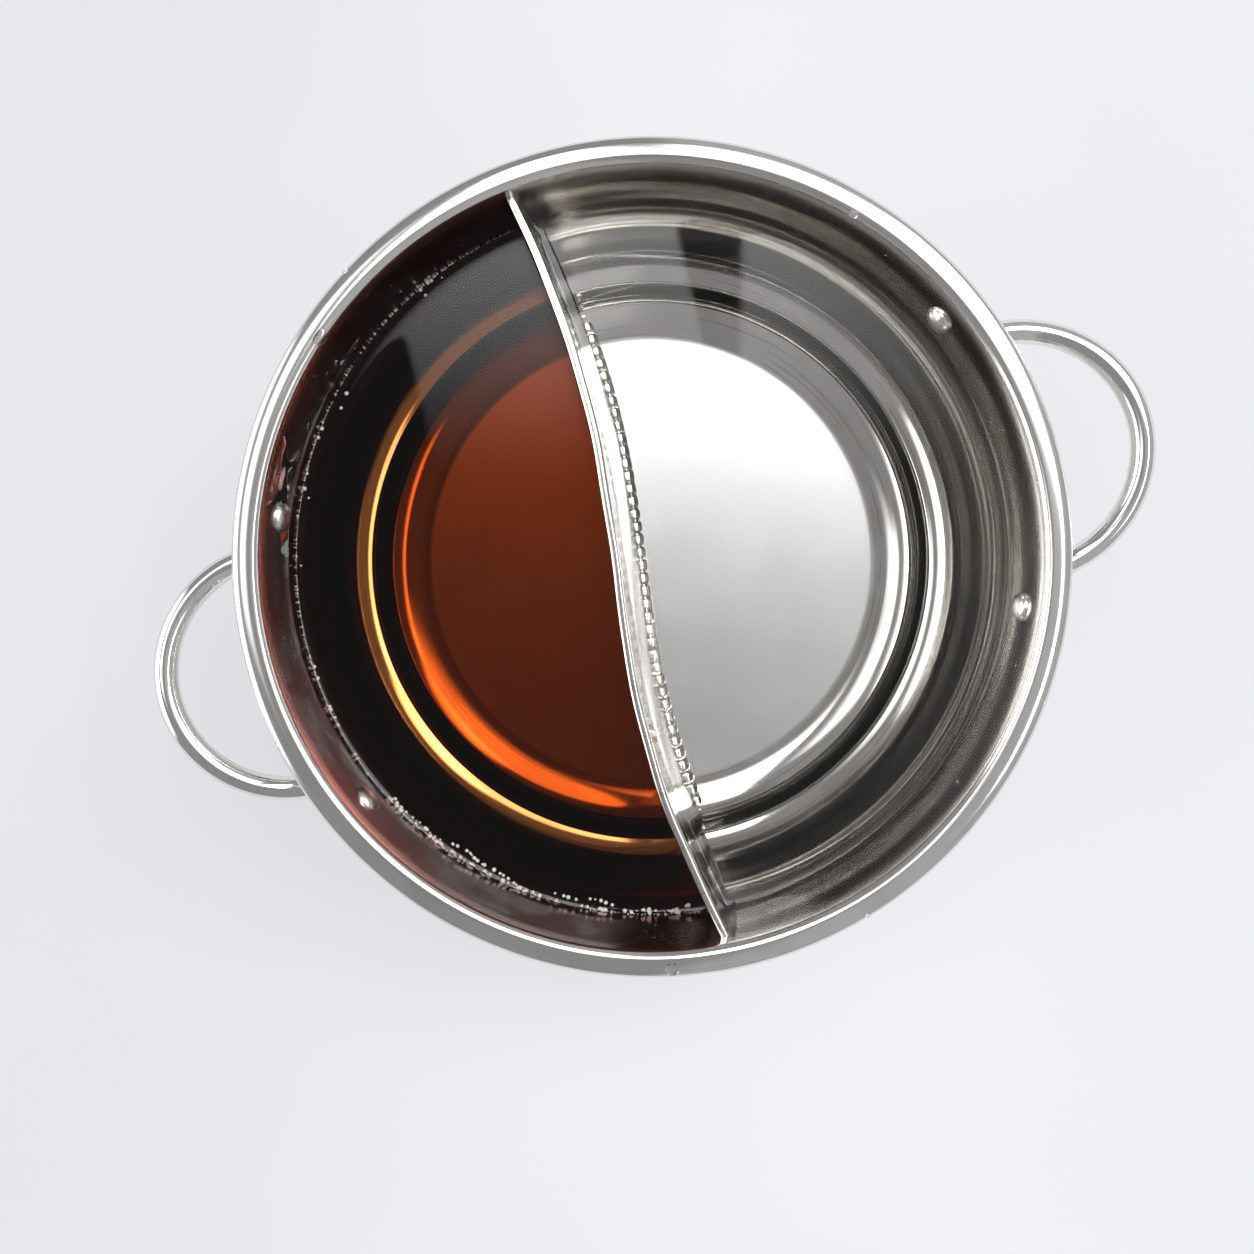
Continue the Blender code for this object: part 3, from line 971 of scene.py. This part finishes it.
def liquid(name, group, tint=None, density=0):
    material, tree, shader = newMaterial(name)
    shader.inputs["Base Color"].default_value = tones["white"]
    shader.inputs["Roughness"].default_value = 0.0
    shader.inputs["IOR"].default_value = 1.333
    shader.inputs["Transmission Weight"].default_value = 1.0
    ripple = tree.nodes.new("ShaderNodeGroup")
    ripple.node_tree = group
    tree.links.new(ripple.outputs["Normal"], shader.inputs["Normal"])
    if tint:
        absorb = tree.nodes.new("ShaderNodeVolumeAbsorption")
        absorb.inputs["Color"].default_value = (*tint, 1)
        absorb.inputs["Density"].default_value = density
        tree.links.new(absorb.outputs[0], tree.nodes["Material Output"].inputs["Volume"])
    return material


def foamAndGlint(name):
    # small bubbles, paler than the liquid they sit on; the pale colour is partly real foam and partly
    # painted glints, standing in for the light caught on the bubbles' rims
    material, tree, shader = newMaterial(name)
    spots = addNoise(tree, addPlace(tree), 700)
    tree.links.new(blend(tree, spots, tones["foamAndGlint"], tones["foamShade"]), shader.inputs["Base Color"])
    shader.inputs["Roughness"].default_value = 0.12
    shader.inputs["IOR"].default_value = 1.4
    shader.inputs["Transmission Weight"].default_value = 0.45
    return material


# Floor, light and camera

view = dict(
    turn=math.radians(16.5),          # the part's +X lies this far anticlockwise of the image's right
    above=500 * mm,                   # camera over the rim
    aim=(-8.2 * mm, -22.9 * mm),      # right and up from the pot's axis, at the rim's height
    frameWidth=445 * mm,
    sensor=36,
)
studio = dict(
    floorHalfSize=6,
    backdrop=(0.84, 0.85, 0.88, 1),   # what the camera sees beyond the floor
    light=(1.0, 1.0, 1.01, 1),
    room=(0.29, 0.3),                 # overhead and to the sides
    panel=7.5,
    strip=8.0,
    leftPanel=2.0,
    rightFill=0.15,
    lowLeft=6.0,
    lamp=9.0,
    lampAxis=(0.6, 0.5, 0.75),        # to the image's right, to its top, up
)
imageRight = Vector((math.cos(view["turn"]), -math.sin(view["turn"]), 0))
imageUp = Vector((math.sin(view["turn"]), math.cos(view["turn"]), 0))


def makeCamera():
    data = bpy.data.cameras.new("camera")
    data.sensor_width = view["sensor"]
    data.lens = view["sensor"] * view["above"] / view["frameWidth"]
    data.clip_start = 0.01
    camera = bpy.data.objects.new("camera", data)
    bpy.context.scene.collection.objects.link(camera)
    eye = Vector((0, 0, pot["height"] + view["above"]))
    target = imageRight * view["aim"][0] + imageUp * view["aim"][1] + Vector((0, 0, pot["height"]))
    back = (eye - target).normalized()
    right = (imageRight - back * imageRight.dot(back)).normalized()
    up = back.cross(right)
    rotation = Matrix((right, up, back)).transposed().to_4x4()
    camera.matrix_world = Matrix.Translation(eye) @ rotation
    bpy.context.scene.camera = camera


def makeFloor():
    bm = bmesh.new()
    bmesh.ops.create_grid(bm, x_segments=8, y_segments=8, size=studio["floorHalfSize"])
    floor = linkMesh("studio_floor", bm)
    material, tree, shader = newMaterial("studio_floor")
    place = addPlace(tree)
    x, y, _ = addParts(tree, place)
    cloud = addNoise(tree, place, 3, 3)
    across = addMath(tree, "ADD", addProduct(tree, x, imageRight.x), addProduct(tree, y, imageRight.y))
    plain = blend(tree, cloud, *tones["paper"])
    shadedPaper = blend(tree, cloud, *tones["paperShadedLeft"])
    # painted shade: the paper darkens towards the image's left, where less light reaches it
    paper = blend(tree, addRamp(tree, across, -260 * mm, 60 * mm), shadedPaper, plain)
    # lit from within for the most part, like a light table, so that the shadow stays faint
    tree.links.new(blend(tree, 0.85, paper, tones["black"]), shader.inputs["Base Color"])
    tree.links.new(paper, shader.inputs["Emission Color"])
    shader.inputs["Emission Strength"].default_value = 0.8
    shader.inputs["Specular IOR Level"].default_value = 0.0
    shader.inputs["Roughness"].default_value = 0.7
    floor.data.materials.append(material)


def makeSky():
    # a studio as light by direction: a large soft panel with a slit, over a dim room
    world = bpy.data.worlds.new("studio")
    bpy.context.scene.world = world
    world.use_nodes = True
    tree = world.node_tree
    tree.nodes.clear()
    direction = tree.nodes.new("ShaderNodeTexCoord").outputs["Generated"]

    def towards(axis):
        node = tree.nodes.new("ShaderNodeVectorMath")
        node.operation = "DOT_PRODUCT"
        node.inputs[1].default_value = axis
        tree.links.new(direction, node.inputs[0])
        return node.outputs["Value"]

    # a direction as a place on a ceiling at height 1: u to the image's right, v to its top
    rise = towards((0, 0, 1))
    safeRise = addMath(tree, "MAXIMUM", rise, 0.02)
    u = addMath(tree, "DIVIDE", towards(imageRight), safeRise)
    v = addMath(tree, "DIVIDE", towards(imageUp), safeRise)

    def band(value, low, high, blurLow, blurHigh):
        # 1 between two edges, each with its own softness
        rising = addRamp(tree, value, low - blurLow, low + blurLow)
        falling = addRamp(tree, value, high + blurHigh, high - blurHigh)
        return addMath(tree, "MULTIPLY", rising, falling)

    def rightOf(start, slant):
        # 1 to the right of a sharp slanting edge
        edge = addMath(tree, "SUBTRACT", start, addProduct(tree, v, slant))
        return addRamp(tree, addMath(tree, "SUBTRACT", u, edge), -0.004, 0.004)

    def lit(part, *masks):
        return addProduct(tree, *masks, studio[part])

    # a large soft panel over the upper right, with a sharp left edge and a slit
    beforeSlit = addMath(tree, "SUBTRACT", 1.0, rightOf(0.0748, 0.238))
    outOfSlit = addMath(tree, "MAXIMUM", beforeSlit, rightOf(0.0643, 0.0))
    fading = addRamp(tree, u, 0.95, 0.75)
    panel = lit("panel", rightOf(-0.135, 0.23), outOfSlit, band(v, 0.17, 0.85, 0.12, 0.08), fading)
    # a narrow light far to the right, a dim panel to the left and a weak fill over the right
    strip = lit("strip", band(u, 0.67, 0.82, 0.02, 0.04), band(v, -0.42, 0.35, 0.1, 0.1))
    leftPanel = lit("leftPanel", band(u, -0.8, -0.38, 0.08, 0.1), band(v, -0.08, 0.5, 0.1, 0.1))
    rightFill = lit("rightFill", addRamp(tree, u, 0.02, 0.1))
    # a window low on the left, for the right-hand wall
    leftward = addMath(tree, "DIVIDE", v, addMath(tree, "MAXIMUM", addProduct(tree, u, -1), 0.5))
    lowLeft = lit("lowLeft", addRamp(tree, u, -1.0, -1.9), band(leftward, -0.45, 0.5, 0.2, 0.2))
    # a small lamp at the upper right, for the glints
    right, up, rising = studio["lampAxis"]
    lampAxis = (imageRight * right + imageUp * up + Vector((0, 0, rising))).normalized()
    lamp = lit("lamp", addRamp(tree, towards(lampAxis), 0.975, 0.995))

    # the room: dark overhead, a little brighter to the sides
    total = addRamp(tree, rise, 0.97, 0.6, *studio["room"])
    for part in (panel, strip, leftPanel, rightFill, lowLeft, lamp):
        total = addMath(tree, "ADD", total, part)

    light = tree.nodes.new("ShaderNodeBackground")
    light.inputs["Color"].default_value = studio["light"]
    tree.links.new(total, light.inputs["Strength"])
    backdrop = tree.nodes.new("ShaderNodeBackground")
    backdrop.inputs["Color"].default_value = studio["backdrop"]
    backdrop.inputs["Strength"].default_value = 1.0
    seen = tree.nodes.new("ShaderNodeLightPath").outputs["Is Camera Ray"]
    mix = tree.nodes.new("ShaderNodeMixShader")
    tree.links.new(seen, mix.inputs[0])
    tree.links.new(light.outputs[0], mix.inputs[1])
    tree.links.new(backdrop.outputs[0], mix.inputs[2])
    output = tree.nodes.new("ShaderNodeOutputWorld")
    tree.links.new(mix.outputs[0], output.inputs[0])


bpy.context.scene.view_settings.view_transform = "Standard"
makeCamera()
makeFloor()
makeSky()
print("camera, floor and light made")

marks = spunSteelGroup()
# ring strength, ring scale, smudges, roughness
potSteel = steel("pot_steel", marks, 1.0, 0.8, 0.05, 0.06, satin=(0.165, 0.05))
dividerSteel = steel("divider_steel", marks, 0.5, 0.6, 0.06, 0.12)
handleSteel = steel("handle_steel", marks, 0.1, 0.7, 0.05, 0.07, polish=0.45)
rivetSteel = steel("rivet_steel", marks, 0.1, 0.7, 0.05, 0.26, polish=0.3)
ripple = rippleGroup()
redLiquid = liquid("red_broth", ripple, tint=(0.73, 0.4, 0.0), density=54)
clearLiquid = liquid("clear_broth", ripple, tint=(0.9, 0.93, 0.92), density=1.5)
dropLiquid = liquid("water_drops", ripple)
bubbleFoamAndGlint = foamAndGlint("broth_bubbles")
print("materials made")

makePot(potSteel)
makeDivider(dividerSteel)
makeBroth("red_broth_surface", -1, redLiquid, "red_broth", "broth_red")
makeBroth("clear_broth_surface", 1, clearLiquid, "clear_broth", "broth_clear")
for side, turn in (("right", 0), ("left", math.pi)):
    makeHandle(f"{side}_handle", turn, handleSteel, f"handle_{side}")
    for end, sign in (("front", -1), ("back", 1)):
        makeRivet(f"{side}_{end}_rivet", turn, sign * rivet["angle"], rivetSteel, f"rivet_{side}_{end}")
makeSeams(dividerSteel)
makeDrops(dropLiquid)
makeBubbles(bubbleFoamAndGlint)
makeFilm(dropLiquid)
print("pieces made")
